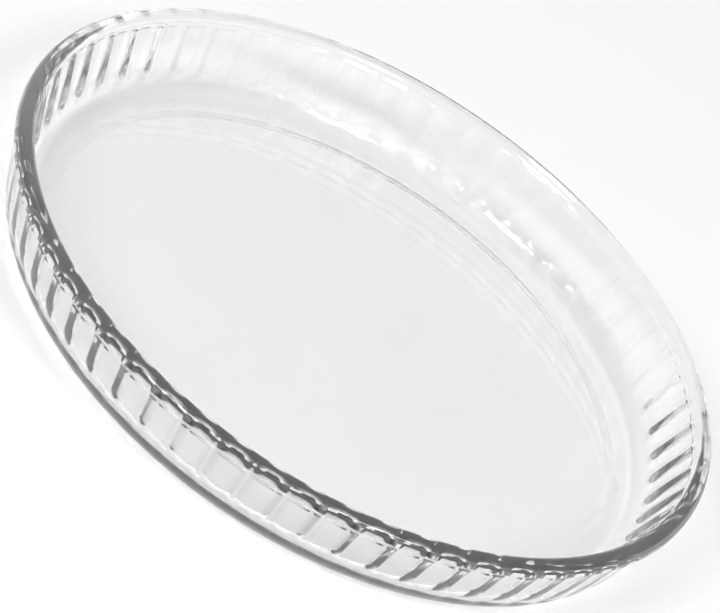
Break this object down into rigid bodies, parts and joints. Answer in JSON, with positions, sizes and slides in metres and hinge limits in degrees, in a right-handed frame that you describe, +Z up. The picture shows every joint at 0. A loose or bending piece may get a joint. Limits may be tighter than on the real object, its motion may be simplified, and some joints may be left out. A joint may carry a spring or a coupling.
{
  "type": "fluted baking dish",
  "caption": "Round, shallow baking dish of clear pressed glass with a flared, fluted wall, a thick rounded lip and a flat floor, for flans, tarts and gratins.",
  "frame": {"origin": "middle of the underside, level with the foot ring that the dish stands on", "axes": "+Z up along the dish's axis; +X and +Y lie in the table plane, with the ridge between two flutes at +X"},
  "size_m": [0.28, 0.28, 0.034],
  "materials": {
    "clear_glass": "clear and fire-polished, with the faint waviness of pressed glass"
  },
  "bodies": {
    "root": {"glass_dish": "clear_glass"}
  },
  "joints": []
}
